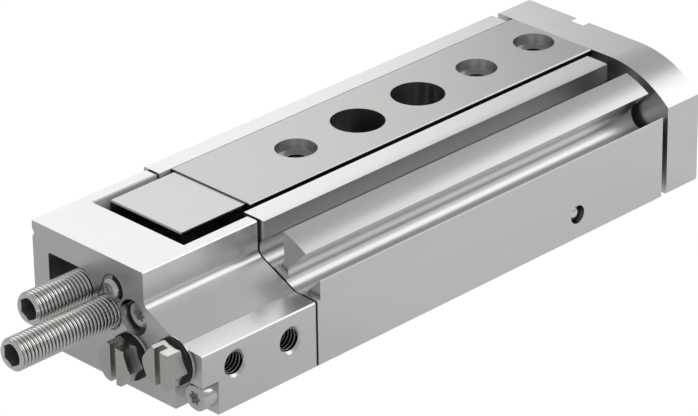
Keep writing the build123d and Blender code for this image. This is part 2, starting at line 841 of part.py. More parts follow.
nodes = {
    "housing": make_housing(),
    "end_cap": make_end_cap(),
    "end_cap_gasket": make_gasket(),
    "end_cap_screws": [cap_screw(seat, y, z) for seat, y, z in cap_screw_places],
    "clamp_wedge": make_wedge(),
    "clamp_screw": make_clamp_screw(),
    "blanking_plugs": [make_plug(y, z) for y, z in plug_places],
    "plug_seals": [
        ring_x(seal_radius, plug_thread_radius, head_plane - seal_thickness, head_plane, y, z)
        for y, z in plug_places
    ],
    "plug_washers": [ring_x(washer_radius, plug_thread_radius, head_plane, 0, y, z) for y, z in plug_places],
    "ball_plug": Pos(cross_hole_x, ball_plug_depth, cross_hole_z) * Sphere(ball_plug_radius),
    "bearing_cap": make_bearing_cap(),
    "rod_seal": ring_x(rod_seal_radius, rod_radius + fit_clearance, seal_x, seal_x + rod_seal_length,
                       cylinder_y, cylinder_z),
    "retaining_ring": make_retaining_ring(),
    "guide_rail_near": make_rail(True),
    "guide_rail_far": make_rail(False),
    "stop_anvil": make_anvil(),
    "retract_stop_screw": make_stop_screw(-retract_stick_out, retract_tip, retract_y, retract_z),
    "retract_stop_buffer": make_buffer(retract_tip, retract_y, retract_z),
    "advance_stop_screw": make_stop_screw(-advance_stick_out, advance_tip, advance_y, advance_z),
    "advance_stop_buffer": make_buffer(advance_tip, advance_y, advance_z),
    "slide_table": make_table(),
    "stop_block": make_stop_block(),
    "stop_block_screws": [make_foot_screw(y) for y in foot_screw_rows()],
    "yoke_plate": make_yoke(),
    "yoke_screws": [make_yoke_screw(y) for y in (yoke_screw_near_y, yoke_screw_far_y)],
    "piston_rod": make_piston_rod(),
    "piston": make_piston(),
    "piston_seals": [piston_ring(groove, fit_clearance) for groove in piston_grooves()[1:]],
    "piston_magnet": piston_ring(piston_grooves()[0], piston_gap),
    "rod_nut": make_nut(),
    "ball_cage_near": make_cage(ball_near_y),
    "ball_cage_far": make_cage(ball_far_y),
    "guide_balls": make_balls(),
}

base_centre = Pos(-housing_end / 2, -cap_width / 2, 0)
os.makedirs("parts", exist_ok=True)
for name, shape in nodes.items():
    solids = shape if isinstance(shape, list) else shape.solids()
    placed = [base_centre * solid for solid in solids]
    export_step(placed[0] if len(placed) == 1 else Compound(children=placed), f"parts/{name}.step")
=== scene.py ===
import json
import math

import bmesh
import bpy
from mathutils import Matrix, Vector


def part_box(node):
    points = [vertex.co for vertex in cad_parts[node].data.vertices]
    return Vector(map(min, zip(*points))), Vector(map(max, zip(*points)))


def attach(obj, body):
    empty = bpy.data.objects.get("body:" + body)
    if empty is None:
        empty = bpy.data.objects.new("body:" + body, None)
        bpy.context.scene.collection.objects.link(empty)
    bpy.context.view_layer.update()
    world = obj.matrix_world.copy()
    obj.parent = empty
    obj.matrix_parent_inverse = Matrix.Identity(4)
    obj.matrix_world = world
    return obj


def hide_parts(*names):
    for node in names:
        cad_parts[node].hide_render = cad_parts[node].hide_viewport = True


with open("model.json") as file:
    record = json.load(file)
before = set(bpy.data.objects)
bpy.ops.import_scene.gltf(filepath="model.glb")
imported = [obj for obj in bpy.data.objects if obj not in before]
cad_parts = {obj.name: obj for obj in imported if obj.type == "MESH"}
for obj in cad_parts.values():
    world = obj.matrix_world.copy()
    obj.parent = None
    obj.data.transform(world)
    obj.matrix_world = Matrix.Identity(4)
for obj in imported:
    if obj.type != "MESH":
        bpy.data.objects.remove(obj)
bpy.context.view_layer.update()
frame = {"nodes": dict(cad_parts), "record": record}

mm = 0.001
nodes = frame["nodes"]
print("frame loaded:", len(nodes), "CAD nodes")


# Node trees, for materials and for geometry alike

class Socket:
    # An output socket that can be used in sums and products.
    def __init__(self, maker, socket):
        self.maker = maker
        self.socket = socket

    def __add__(self, other):
        return self.maker.math("ADD", self, other)

    def __sub__(self, other):
        return self.maker.math("SUBTRACT", self, other)

    def __rsub__(self, other):
        return self.maker.math("SUBTRACT", other, self)

    def __mul__(self, other):
        return self.maker.math("MULTIPLY", self, other)

    def __truediv__(self, other):
        return self.maker.math("DIVIDE", self, other)

    __radd__ = __add__
    __rmul__ = __mul__


class NodeMaker:
    # Adds nodes to one tree.
    def __init__(self, tree):
        self.tree = tree

    def node(self, kind, settings=None, inputs=None, output=0):
        made = self.tree.nodes.new(kind)
        for name, value in (settings or {}).items():
            setattr(made, name, value)
        for name, value in (inputs or {}).items():
            if isinstance(value, Socket):
                self.tree.links.new(value.socket, made.inputs[name])
            else:
                made.inputs[name].default_value = value
        return Socket(self, made.outputs[output]) if made.outputs else None

    def math(self, operation, first, second=0.0):
        return self.node("ShaderNodeMath", {"operation": operation}, {0: first, 1: second})

    def outputs(self, kind, inputs=None):
        # All outputs of a node, by name.
        made = self.node(kind, inputs=inputs).socket.node
        return {output.name: Socket(self, output) for output in made.outputs if output.name}


# Finishes. Each pattern reads Object coordinates, in metres.

pattern = {
    # sizes are in millimetres, and blur is half the width of a place's soft edge
    "noiseRoughness": 0.55, "cloudDetail": 3.0, "grainDetail": 4.0, "poreDetail": 2.0, "bumpHeight": 0.01,
    "blur": 0.03, "matteRoughness": 0.4,
}


def noiseOn(maker, size, detail, stretch=(1, 1, 1)):
    # Noise whose spots are about `size` millimetres, drawn out by `stretch` along each axis.
    place = maker.node("ShaderNodeTexCoord", output="Object")
    scaled = maker.node("ShaderNodeMapping", inputs={
        "Vector": place, "Scale": [1 / (size * mm * way) for way in stretch]})
    return maker.node("ShaderNodeTexNoise", inputs={
        "Vector": scaled, "Scale": 1.0, "Detail": detail, "Roughness": pattern["noiseRoughness"]})


def between(maker, value, low, high, blur):
    # 1 where the value lies between two limits, either of which may be None, with soft ends.
    share = 1.0
    if low is not None:
        share = maker.node("ShaderNodeMapRange", {"interpolation_type": "SMOOTHSTEP"}, {
            "Value": value, "From Min": low - blur, "From Max": low + blur}) * share
    if high is not None:
        share = maker.node("ShaderNodeMapRange", {"interpolation_type": "SMOOTHSTEP"}, {
            "Value": value, "From Min": high + blur, "From Max": high - blur}) * share
    return share


def placeMask(maker, place):
    # 1 inside a place that is given by limits along the axes and by distances from a line along one axis.
    here = maker.node("ShaderNodeTexCoord", output="Object")
    along = maker.outputs("ShaderNodeSeparateXYZ", {"Vector": here})
    blur = place.get("blur", pattern["blur"]) * mm
    share = 1.0
    for axis in "xyz":
        if axis in place:
            share = between(maker, along[axis.upper()], *place[axis], blur) * share
    if "radius" in place:
        sides = [along[axis.upper()] - place["centre"][axis] for axis in "xyz" if axis != place["way"]]
        distance = maker.math("SQRT", sides[0] * sides[0] + sides[1] * sides[1])
        share = between(maker, distance, *place["radius"], blur) * share
    return share


def metal(name, look):
    # Satin, ground or plated metal: broad mottling, fine grain along its stretch, and a faint relief.
    # The places paint shade, light and a dark joint into the colour, each in its own tone, and one that is
    # matte reflects no more than cast metal.
    material = bpy.data.materials.new(name)
    material.use_nodes = True
    tree = material.node_tree
    tree.nodes.clear()
    maker = NodeMaker(tree)
    cloud = noiseOn(maker, look["cloudSize"], pattern["cloudDetail"], look["cloudStretch"])
    grain = noiseOn(maker, look["grainSize"], pattern["grainDetail"], look["grainStretch"])
    tone = (cloud - 0.5) * look["cloudTone"] + (grain - 0.5) * look["grainTone"] + 0.5
    dark = [channel * (1 - look["toneRange"]) for channel in look["colour"]]
    light = [min(1.0, channel * (1 + look["toneRange"])) for channel in look["colour"]]
    colour = maker.node("ShaderNodeMix", {"data_type": "RGBA", "clamp_factor": True}, {
        "Factor": tone, 6: (*dark, 1), 7: (*light, 1)}, output=2)
    metallic = look["metallic"]
    uneven = (grain - 0.5) * look["grainRoughness"] + (cloud - 0.5) * look["cloudRoughness"]
    roughness = uneven + look["roughness"]
    for place in look.get("places", []):
        share = placeMask(maker, place)
        colour = maker.node("ShaderNodeMix", {"data_type": "RGBA"}, {
            "Factor": share, 6: colour, 7: (*[place["tone"]] * 3, 1)}, output=2)
        if place.get("matte"):
            metallic = (1 - share) * metallic
            roughness = roughness + share * pattern["matteRoughness"]
    relief = maker.node("ShaderNodeBump", inputs={
        "Strength": look["relief"], "Distance": pattern["bumpHeight"] * mm, "Height": grain})
    shader = maker.node("ShaderNodeBsdfPrincipled", inputs={
        "Base Color": colour, "Metallic": metallic, "Roughness": roughness, "Normal": relief})
    maker.node("ShaderNodeOutputMaterial", inputs={"Surface": shader})
    return material


def rubber(name, look):
    # Black moulded rubber or plastic with a dry bloom.
    material = bpy.data.materials.new(name)
    material.use_nodes = True
    tree = material.node_tree
    tree.nodes.clear()
    maker = NodeMaker(tree)
    bloom = noiseOn(maker, look["bloomSize"], pattern["cloudDetail"])
    pores = noiseOn(maker, look["poreSize"], pattern["poreDetail"])
    colour = maker.node("ShaderNodeMix", {"data_type": "RGBA"}, {
        "Factor": bloom, 6: (*look["colour"], 1), 7: (*look["bloomColour"], 1)}, output=2)
    relief = maker.node("ShaderNodeBump", inputs={
        "Strength": look["relief"], "Distance": pattern["bumpHeight"] * mm, "Height": pores})
    shader = maker.node("ShaderNodeBsdfPrincipled", inputs={
        "Base Color": colour, "Roughness": bloom * look["bloomRoughness"] + look["roughness"],
        "Normal": relief})
    maker.node("ShaderNodeOutputMaterial", inputs={"Surface": shader})
    return material


plainMetal = {
    "colour": (0.75, 0.75, 0.755), "metallic": 1.0, "roughness": 0.3,
    "cloudSize": 6.0, "cloudStretch": (1, 1, 1), "cloudTone": 0.9, "cloudRoughness": 0.05,
    "grainSize": 0.12, "grainStretch": (1, 1, 1), "grainTone": 0.6, "grainRoughness": 0.08,
    "toneRange": 0.06, "relief": 0.08,
}
mountPlaces = {mount["name"]: mount for mount in frame["record"]["mounts"]}
blockLow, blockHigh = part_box("stop_block")
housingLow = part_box("housing")[0]
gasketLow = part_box("end_cap_gasket")[0]
ballLow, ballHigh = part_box("ball_plug")
wedgeLow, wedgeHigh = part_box("clamp_wedge")
clampLow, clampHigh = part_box("clamp_screw")
tableLow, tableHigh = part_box("slide_table")
# how bright the metal of a place is; most places paint shade and light into the colour, and one darkens the
# joint of cap and housing
tones = {"hole": 0.012, "blackened": 0.06, "milledWall": 0.95, "brokenEdge": 1.0, "threadRoot": 0.09,
         "socket": 0.14, "countersink": 1.0, "ballHole": 0.12}

# how far the places reach from the pieces and holes beside them, and two soft edges, in millimetres
reach = {
    "holeWall": 0.1, "portStart": 0.1, "portEnd": 4, "threadStart": 0.05,
    "wallStart": 0.3, "wallEnd": 1.2, "wallPastBlock": 1.7, "wallFoot": 2, "wallTop": 0.16,
    "brokenEdge": 0.1, "edgeFoot": 0.3, "sideEdge": 0.15, "flush": 0.01, "joint": 0.12,
    "ballRim": 0.2, "ballStart": 0.03,
    "wedgeGap": 0.15, "wedgeGapStart": 0.035, "wedgeGapEnd": 0.2, "wedgeFace": 0.05, "wedgeBlur": 0.01,
    # the last three reaches bound the painted shade on the table's end and side and on the stop block
    "headBlur": 0.04, "groundFace": 0.05, "groundEndTop": 0.15, "groundTop": 0.2,
}
# the dark gap beside the clamp screw's head is painted shade
headShare = 0.8    # of the clamp screw's radius, down to which the gap beside its head is dark


def off(place, name, side=1):
    # A place moved by a named reach, up the axis or down it.
    return place + side * reach[name] * mm


def holePlace(mountName, way, start, end):
    # The inside of a hole that the record states, between two places along its axis, in metres, painted
    # dark as shade.
    mount = mountPlaces[mountName]
    return {"way": way, "centre": dict(zip("xyz", mount["pos_m"])), way: (start, end),
            "radius": (None, (mount["dims"]["r_mm"] + reach["holeWall"]) * mm), "tone": tones["hole"]}


def portPlaces():
    # Painted shade: the air ports are dark from just behind their countersinks.
    places = []
    for mountName in ("extend_port", "retract_port"):
        mount = mountPlaces[mountName]
        mouth = mount["pos_m"][1] - mount["dims"]["length_mm"] / 2 * mm
        places.append(holePlace(mountName, "y", off(mouth, "portStart"), off(mouth, "portEnd")))
    return places


def threadPlaces():
    # Painted shade: the table's threads are dark below their centring bores.
    places = []
    for number in (1, 2, 3):
        mount = mountPlaces[f"table_thread_{number}"]
        mouth = mount["pos_m"][2] + mount["dims"]["length_mm"] / 2 * mm
        places.append(holePlace(mount["name"], "z", None, off(mouth, "threadStart", -1)))
    return places


# painted light: the far wall of the recess, just below the top, is paler than the faces round it and matte,
# so rougher, to look lit
farWall = {"y": (off(blockHigh.y, "wallStart"), off(blockHigh.y, "wallEnd")),
           "x": (off(blockLow.x, "wallPastBlock", -1), tableLow.x),
           "z": (off(tableHigh.z, "wallFoot", -1), off(tableHigh.z, "wallTop", -1)),
           "tone": tones["milledWall"], "matte": True}
# a painted highlight: a bright line along the near edge of the end cap's top
topSlot = mountPlaces["top_sensor_slot"]
topEdge = topSlot["pos_m"][1] + topSlot["dims"]["r_mm"] * mm
brightEdge = {"y": (off(topEdge, "brokenEdge", -1), off(topEdge, "brokenEdge")),
              "z": (off(tableHigh.z, "edgeFoot", -1), None), "tone": tones["brokenEdge"]}
# a painted highlight also runs along the top edge of the housing's side face, below the sensor slot
sideTop = max(vert.co.z for vert in nodes["housing"].data.vertices
              if vert.co.y < off(housingLow.y, "flush"))
brightSide = {"y": (None, off(housingLow.y, "sideEdge")),
              "z": (off(sideTop, "sideEdge", -1), off(sideTop, "brokenEdge")), "tone": tones["brokenEdge"]}
# the joint between cap and housing is a dark line, a little wider than the gasket
capJoint = {"x": (off(gasketLow.x, "joint", -1), None), "tone": tones["hole"]}
# painted shade: the ball sits in a hole painted dark round it
ballHole = {"way": "y", "centre": {"x": (ballLow.x + ballHigh.x) / 2, "z": (ballLow.z + ballHigh.z) / 2},
            "radius": (None, off((ballHigh.x - ballLow.x) / 2, "ballRim")),
            "y": (off(housingLow.y, "ballStart"), ballHigh.y), "tone": tones["ballHole"]}
# painted shade: no light gets into the gap round the clamp wedge, nor beside its screw's head, so these and
# the wedge's sides behind its face are painted dark
wedgePocket = {"x": (off(wedgeLow.x, "wedgeGapStart", -1), off(wedgeHigh.x, "wedgeGapEnd")),
               "y": (off(wedgeLow.y, "wedgeGap", -1), off(wedgeHigh.y, "wedgeGap")),
               "z": (wedgeLow.z, off(wedgeHigh.z, "wedgeGap")),
               "blur": reach["wedgeBlur"], "tone": tones["hole"]}
wedgeSides = {"x": (off(wedgeLow.x, "wedgeFace"), None), "blur": reach["wedgeBlur"], "tone": tones["hole"]}
clampCentre = (clampLow + clampHigh) / 2
clampRadius = (clampHigh.y - clampLow.y) / 2
besideHead = {"way": "x", "centre": {"y": clampCentre.y, "z": clampCentre.z}, "radius": (clampRadius, None),
              "y": (None, clampCentre.y), "z": (clampCentre.z - clampRadius * headShare, None),
              "blur": reach["headBlur"], "tone": tones["hole"]}
# painted shade: the table's end and near side and the stop block's sides are dark below their tops, where
# narrow gaps keep out light
blackEnd = {"x": (None, off(tableLow.x, "groundFace")), "z": (None, off(tableHigh.z, "groundEndTop", -1)),
            "tone": tones["blackened"]}
blackSide = {"y": (None, off(tableLow.y, "groundFace")), "z": (None, off(tableHigh.z, "groundTop", -1)),
             "tone": tones["blackened"]}
blackBlock = {"z": (None, off(blockHigh.z, "groundTop", -1)), "tone": tones["blackened"]}

finishes = {
    # extruded profile: drawn lines run along the travel
    "housingAluminium": {**plainMetal, "grainStretch": (60, 1, 1), "cloudStretch": (12, 1, 1),
                         "relief": 0.06, "places": [farWall, brightSide, ballHole]},
    "capAluminium": {**plainMetal, "places": [farWall, brightEdge, wedgePocket, capJoint] + portPlaces()},
    "yokeAluminium": {**plainMetal},
    # ground steel: grinding lines along the travel, a little warmer than the aluminium
    "groundSteel": {**plainMetal, "colour": (0.53, 0.52, 0.51), "grainStretch": (40, 1, 1),
                    "grainTone": 0.9, "places": [blackEnd, blackSide] + threadPlaces()},
    "blockSteel": {**plainMetal, "colour": (0.58, 0.57, 0.56), "grainStretch": (1, 30, 1),
                   "places": [blackBlock]},
    # the inside threads are darkened as painted shade, the ports' to mid grey and the table's nearly to
    # black
    "portThread": {**plainMetal, "colour": (0.3, 0.3, 0.3), "roughness": 0.25},
    "tableThread": {**plainMetal, "colour": (0.05, 0.05, 0.05), "roughness": 0.25},
    "screwSteel": {**plainMetal, "colour": (0.7, 0.7, 0.69), "roughness": 0.2},
    "wedgeSteel": {**plainMetal, "colour": (0.6, 0.6, 0.6), "places": [wedgeSides, besideHead]},
    "plugNickel": {**plainMetal, "colour": (0.66, 0.65, 0.63), "roughness": 0.2, "relief": 0.03},
    "railSteel": {**plainMetal, "colour": (0.6, 0.6, 0.6), "roughness": 0.16},
    "ballSteel": {**plainMetal, "colour": (0.8, 0.8, 0.8), "roughness": 0.1},
    "innerAluminium": {**plainMetal, "colour": (0.55, 0.55, 0.56), "roughness": 0.35},
    "magnetFerrite": {**plainMetal, "colour": (0.08, 0.08, 0.08), "metallic": 0.3, "roughness": 0.6},
}
plainRubber = {
    "colour": (0.006, 0.006, 0.007), "bloomColour": (0.02, 0.02, 0.021), "roughness": 0.42,
    "bloomSize": 1.0, "bloomRoughness": 0.15, "poreSize": 0.05, "relief": 0.3,
}
rubbers = {
    "sealRubber": plainRubber,
    "cagePlastic": {**plainRubber, "colour": (0.012, 0.012, 0.013), "bloomColour": (0.03, 0.03, 0.03),
                    "roughness": 0.5, "bloomSize": 2.0, "poreSize": 0.08},
}
materials = {name: metal(name, look) for name, look in finishes.items()}
materials.update({name: rubber(name, look) for name, look in rubbers.items()})
finishedNodes = {
    "housingAluminium": ["housing"],
    "capAluminium": ["end_cap"],
    "yokeAluminium": ["yoke_plate"],
    "groundSteel": ["slide_table"],
    "blockSteel": ["stop_block"],
    "screwSteel": ["end_cap_screws", "clamp_screw", "yoke_screws", "stop_block_screws", "rod_nut",
                   "retaining_ring"],
    "wedgeSteel": ["clamp_wedge"],
    "plugNickel": ["blanking_plugs", "plug_washers"],
    "railSteel": ["guide_rail_near", "guide_rail_far", "guide_balls", "stop_anvil", "piston_rod"],
    "ballSteel": ["ball_plug"],
    "sealRubber": ["end_cap_gasket", "plug_seals", "rod_seal", "piston_seals", "retract_stop_buffer",
                   "advance_stop_buffer"],
    "cagePlastic": ["ball_cage_near", "ball_cage_far"],
    "innerAluminium": ["bearing_cap", "piston"],
    "magnetFerrite": ["piston_magnet"],
}


def dress(mesh, material):
    # A mesh gets one material, instead of any slot that it brings along.
    mesh.materials.clear()
    mesh.materials.append(material)


for finish, nodeNames in finishedNodes.items():
    for nodeName in nodeNames:
        dress(nodes[nodeName].data, materials[finish])
print("finishes set:", len(materials))


# Soft edges. The CAD nodes keep their meshes, and modifiers break their sharp edges.

edgeWidths = {    # in millimetres
    "housing": 0.06, "end_cap": 0.06, "yoke_plate": 0.05, "slide_table": 0.02, "stop_block": 0.02,
    "blanking_plugs": 0.03, "end_cap_screws": 0.02, "clamp_screw": 0.03, "plug_seals": 0.1,
    "yoke_screws": 0.05, "rod_nut": 0.06, "piston_rod": 0.08,
}
edges = {
    # corners nearer than this, in millimetres, become one
    "joined": 0.002,
    # in degrees: faces flatter than the first become one, and edges sharper than the second are broken
    "flatAngle": 0.5, "brokenAngle": 38,
    "segments": 2, "flatWeight": 80,
}


def breakEdges(piece, width):
    weld = piece.modifiers.new("joinCorners", "WELD")
    weld.merge_threshold = edges["joined"] * mm
    flat = piece.modifiers.new("flatFaces", "DECIMATE")
    flat.decimate_type = "DISSOLVE"
    flat.angle_limit = math.radians(edges["flatAngle"])
    soft = piece.modifiers.new("softEdges", "BEVEL")
    soft.width = width * mm
    soft.segments = edges["segments"]
    soft.limit_method = "ANGLE"
    soft.angle_limit = math.radians(edges["brokenAngle"])
    soft.miter_outer = "MITER_ARC"
    soft.use_clamp_overlap = True
    shading = piece.modifiers.new("flatShading", "WEIGHTED_NORMAL")
    shading.keep_sharp = False
    shading.weight = edges["flatWeight"]
    for face in piece.data.polygons:
        face.use_smooth = True


for nodeName, width in edgeWidths.items():
    breakEdges(nodes[nodeName], width)
print("edges softened:", len(edgeWidths))


# Threads, made by geometry nodes

def newTree(name, lengths, counts):
    # A geometry node tree with named inputs, its maker, and the inputs' sockets.
    tree = bpy.data.node_groups.new(name, "GeometryNodeTree")
    kinds = [("Geometry", "Geometry")]
    kinds += [(label, "Float") for label in lengths] + [(label, "Int") for label in counts]
    for label, kind in kinds + [("Material", "Material")]:
        tree.interface.new_socket(label, in_out="INPUT", socket_type="NodeSocket" + kind)
    tree.interface.new_socket("Geometry", in_out="OUTPUT", socket_type="NodeSocketGeometry")
    maker = NodeMaker(tree)
    return tree, maker, maker.outputs("NodeGroupInput")


def closeTree(maker, geometry, material):
    # Every tree ends in real geometry with its material.
    real = maker.node("GeometryNodeRealizeInstances", inputs={"Geometry": geometry})
    painted = maker.node("GeometryNodeSetMaterial", inputs={"Geometry": real, "Material": material})
    maker.node("NodeGroupOutput", inputs={"Geometry": painted})


def threadSurfaceTree():
    # Rolled outside thread: a grid wrapped round X, whose radius rises and falls with the pitch.
    tree, maker, given = newTree(
        "rolledThread", ["Start", "Length", "Radius", "Depth", "Pitch", "Chamfer", "Flank"],
        ["Rows", "Around"])
    grid = maker.node("GeometryNodeMeshGrid", inputs={
        "Size X": given["Length"], "Size Y": 2 * math.pi,
        "Vertices X": given["Rows"], "Vertices Y": given["Around"] + 1})
    flat = maker.outputs("ShaderNodeSeparateXYZ", {"Vector": maker.node("GeometryNodeInputPosition")})
    along = flat["X"] + given["Length"] * 0.5
    angle = flat["Y"]
    wholeTurns = 10.0    # keeps the count of turns above zero
    turn = maker.math("FRACT", along / given["Pitch"] - angle * (0.5 / math.pi) + wholeTurns)
    slope = maker.math("ABSOLUTE", turn - 0.5) * 2.0    # 0 at the root, 1 at the crest
    wave = maker.node("ShaderNodeMapRange", {"interpolation_type": "SMOOTHSTEP"}, {
        "Value": slope, "From Max": given["Flank"]})
    threaded = given["Radius"] - given["Depth"] * (1.0 - wave)
    nearEnd = given["Radius"] - given["Chamfer"] + along
    farEnd = given["Radius"] - given["Chamfer"] + given["Length"] - along
    radius = maker.math("MINIMUM", threaded, maker.math("MINIMUM", nearEnd, farEnd))
    moved = maker.node("ShaderNodeCombineXYZ", inputs={
        "X": along + given["Start"], "Y": radius * maker.math("COSINE", angle),
        "Z": radius * maker.math("SINE", angle)})
    wrapped = maker.node("GeometryNodeSetPosition", inputs={"Geometry": grid, "Position": moved})
    closed = maker.node("GeometryNodeMergeByDistance", inputs={
        "Geometry": wrapped, "Distance": stopScrew["seam"] * mm})
    smooth = maker.node("GeometryNodeSetShadeSmooth", inputs={"Geometry": closed})
    closeTree(maker, smooth, given["Material"])
    return tree


def threadCoilTree():
    # Inside thread: a ridge that winds up the wall of a hole, partly sunk in it.
    tree, maker, given = newTree("insideThread", ["Length", "Radius", "Depth", "Pitch"], ["Steps"])
    winding = given["Radius"] - given["Depth"] * insideThreads["inset"]
    spiral = maker.node("GeometryNodeCurveSpiral", inputs={
        "Resolution": given["Steps"], "Rotations": given["Length"] / given["Pitch"],
        "Start Radius": winding, "End Radius": winding, "Height": given["Length"]})
    upright = maker.node("GeometryNodeSetCurveNormal", {"mode": "Z_UP"}, {"Curve": spiral})
    ridge = maker.node("GeometryNodeCurvePrimitiveCircle", {"mode": "RADIUS"}, {
        "Resolution": insideThreads["ridgeSides"], "Radius": given["Depth"] * insideThreads["ridgeShare"]})
    swept = maker.node("GeometryNodeCurveToMesh", inputs={
        "Curve": upright, "Profile Curve": ridge, "Fill Caps": True})
    smooth = maker.node("GeometryNodeSetShadeSmooth", inputs={"Geometry": swept})
    closeTree(maker, smooth, given["Material"])
    return tree


def grow(name, tree, values):
    # Runs a tree on an empty object and returns the result as a plain mesh.
    holder = bpy.data.objects.new(name, bpy.data.meshes.new(name))
    bpy.context.scene.collection.objects.link(holder)
    modifier = holder.modifiers.new(name, "NODES")
    modifier.node_group = tree
    for item in tree.interface.items_tree:
        if item.item_type == "SOCKET" and item.in_out == "INPUT" and item.name in values:
            modifier[item.identifier] = values[item.name]
    bpy.context.view_layer.update()
    evaluated = holder.evaluated_get(bpy.context.evaluated_depsgraph_get())
    mesh = bpy.data.meshes.new_from_object(evaluated)
    bpy.data.objects.remove(holder)
    dress(mesh, values["Material"])
    return mesh


def newPiece(name, mesh, body):
    piece = bpy.data.objects.new(name, mesh)
    bpy.context.scene.collection.objects.link(piece)
    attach(piece, body)
    return piece


def ringsMesh(mesh, rings):
    # Joins rings of equally many points with quads, and closes the last one with a fan.
    rows = [[mesh.verts.new(point) for point in ring] for ring in rings]
    count = len(rows[0])
    for lower, upper in zip(rows, rows[1:]):
        for step in range(count):
            after = (step + 1) % count
            mesh.faces.new((lower[step], lower[after], upper[after], upper[step]))
    last = rows[-1]
    middle = mesh.verts.new(sum((vert.co for vert in last), Vector()) / count)
    for step in range(count):
        mesh.faces.new((last[step], last[(step + 1) % count], middle))


stopScrew = {
    # sizes in millimetres and angles in degrees; the flanks take up a share of the pitch
    "around": 48, "rowsPerPitch": 12, "pitch": 0.5, "depth": 0.3, "chamfer": 0.36, "flank": 0.66,
    "socketFlats": 2.5, "socketDepth": 2.2, "socketTurn": 210,
    "countersinkRadius": 1.6, "countersinkAngle": 50, "sinkBlur": 0.02,
    "rootInset": 0.17, "rootStart": 0.5, "rootBlur": 0.11, "seam": 0.001, "sharpAngle": 50,
    "steel": {**plainMetal, "colour": (0.82, 0.815, 0.8), "roughness": 0.14, "relief": 0.03},
}
flats = stopScrew["socketFlats"] / 2 * mm
sinkRadius = stopScrew["countersinkRadius"] * mm
sinkSlope = math.tan(math.radians(stopScrew["countersinkAngle"]))


def stopSteel(nodeName, low, high, centre, radius):
    # The steel of one stop screw: painted shade in the thread roots and the socket, and a pale, matte
    # countersink as painted light.
    line = {"way": "x", "centre": {"y": centre.y, "z": centre.z}}
    sinkEnd = low.x + (sinkRadius - flats) / sinkSlope
    # painted shade in the thread roots
    root = {**line, "radius": (None, radius - stopScrew["rootInset"] * mm),
            "x": (low.x + stopScrew["rootStart"] * mm, None),
            "blur": stopScrew["rootBlur"], "tone": tones["threadRoot"]}
    # painted light: the countersink is paler and matte
    countersink = {**line, "radius": (flats, sinkRadius), "x": (None, sinkEnd),
                   "blur": stopScrew["sinkBlur"], "tone": tones["countersink"], "matte": True}
    # painted shade in the socket
    socket = {**line, "radius": (None, sinkRadius), "x": (sinkEnd, high.x),
              "blur": stopScrew["sinkBlur"], "tone": tones["socket"], "matte": True}
    return metal(nodeName + "Steel", {**stopScrew["steel"], "places": [root, countersink, socket]})


def makeStopScrew(nodeName, body, bufferName):
    # Threaded rod with a countersunk hexagon socket outside and a buffer seat inside.
    low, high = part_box(nodeName)
    radius = (high.y - low.y) / 2
    length = high.x - low.x
    around = stopScrew["around"]
    centre = Vector((0, (low.y + high.y) / 2, (low.z + high.z) / 2))
    steel = stopSteel(nodeName, low, high, centre, radius)
    mesh = grow(nodeName + "_thread", rolledThread, {
        "Start": low.x, "Length": length, "Radius": radius, "Depth": stopScrew["depth"] * mm,
        "Pitch": stopScrew["pitch"] * mm, "Chamfer": stopScrew["chamfer"] * mm, "Flank": stopScrew["flank"],
        "Rows": int(length / (stopScrew["pitch"] * mm) * stopScrew["rowsPerPitch"]),
        "Around": around, "Material": steel})
    built = bmesh.new()
    built.from_mesh(mesh)
    angles = [-math.pi + 2 * math.pi * step / around for step in range(around)]

    def ring(size, x):
        return [(x, size * math.cos(angle), size * math.sin(angle)) for angle in angles]

    # the hexagon, one of whose corners points up, and its edge in the countersink
    corner = math.radians(stopScrew["socketTurn"])
    sizes = [flats / math.cos((angle + corner) % (math.pi / 3) - math.pi / 6) for angle in angles]
    rim = [(low.x + (sinkRadius - size) / sinkSlope, size * math.cos(angle), size * math.sin(angle))
           for size, angle in zip(sizes, angles)]
    bottom = low.x + stopScrew["socketDepth"] * mm
    floor = [(bottom, size * math.cos(angle), size * math.sin(angle)) for size, angle in zip(sizes, angles)]
    endRadius = radius - stopScrew["chamfer"] * mm
    ringsMesh(built, [ring(endRadius, low.x), ring(sinkRadius, low.x), rim, floor])
    seatLow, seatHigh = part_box(bufferName)
    seatRadius = (seatHigh.y - seatLow.y) / 2
    ringsMesh(built, [ring(endRadius, high.x), ring(seatRadius, high.x), ring(seatRadius, seatLow.x)])
    bmesh.ops.remove_doubles(built, verts=built.verts, dist=edges["joined"] * mm)
    bmesh.ops.recalc_face_normals(built, faces=built.faces)
    bmesh.ops.translate(built, vec=centre, verts=built.verts)
    for edge in built.edges:
        edge.smooth = edge.calc_face_angle(0) < math.radians(stopScrew["sharpAngle"])
    for face in built.faces:
        face.smooth = True
    built.to_mesh(mesh)
    built.free()
    piece = newPiece(nodeName + "_threaded", mesh, body)
    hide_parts(nodeName)
    dress(nodes[nodeName].data, steel)


rolledThread = threadSurfaceTree()
makeStopScrew("retract_stop_screw", "retract_stop", "retract_stop_buffer")
makeStopScrew("advance_stop_screw", "advance_stop", "advance_stop_buffer")
print("stop screws threaded")

insideThreads = {
    # pitch and depth in millimetres; inset and ridgeShare are shares of the depth
    "pitch": 0.5, "depth": 0.2, "inset": 0.35, "ridgeShare": 0.62, "ridgeSides": 6, "stepsPerTurn": 28,
}


